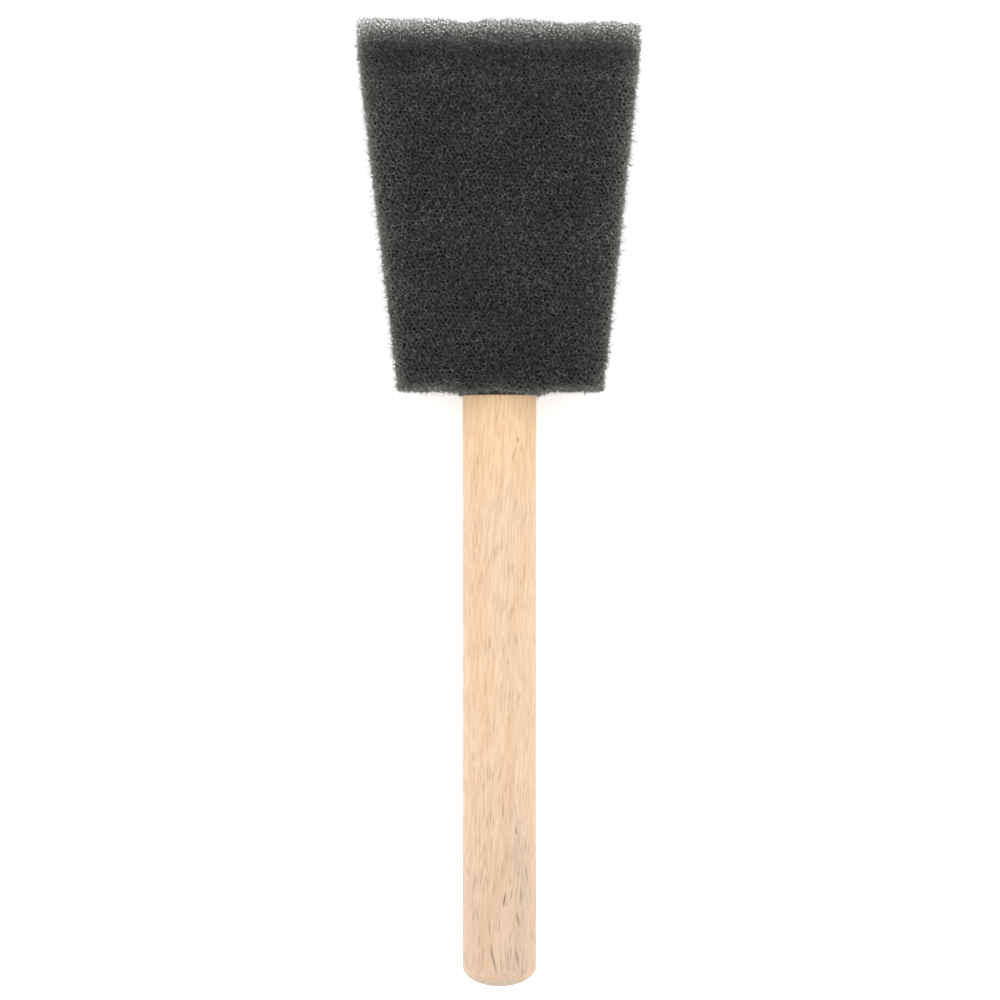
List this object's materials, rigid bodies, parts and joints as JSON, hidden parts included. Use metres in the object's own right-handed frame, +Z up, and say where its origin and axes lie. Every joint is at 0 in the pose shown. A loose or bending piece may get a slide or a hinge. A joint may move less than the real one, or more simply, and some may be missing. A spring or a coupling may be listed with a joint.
{
  "type": "foam sponge brush",
  "caption": "Foam paint brush: a tapered open-cell foam head with a chisel tip, on a round wooden dowel handle with a domed end.",
  "frame": {"origin": "the middle of the footprint, on the surface that the head lies on", "axes": "+Y along the handle's axis towards the chisel tip, X across the width of the head, +Z up through its thickness"},
  "size_m": [0.0508, 0.172, 0.0214],
  "materials": {
    "handle_wood": "matte",
    "foam": "matte",
    "core_plastic": "satin",
    "adhesive": "satin"
  },
  "bodies": {
    "root": {"handle": "handle_wood", "foam_head": "foam", "core": "core_plastic", "socket_glue": "adhesive", "blade_glue": "adhesive"}
  },
  "joints": []
}
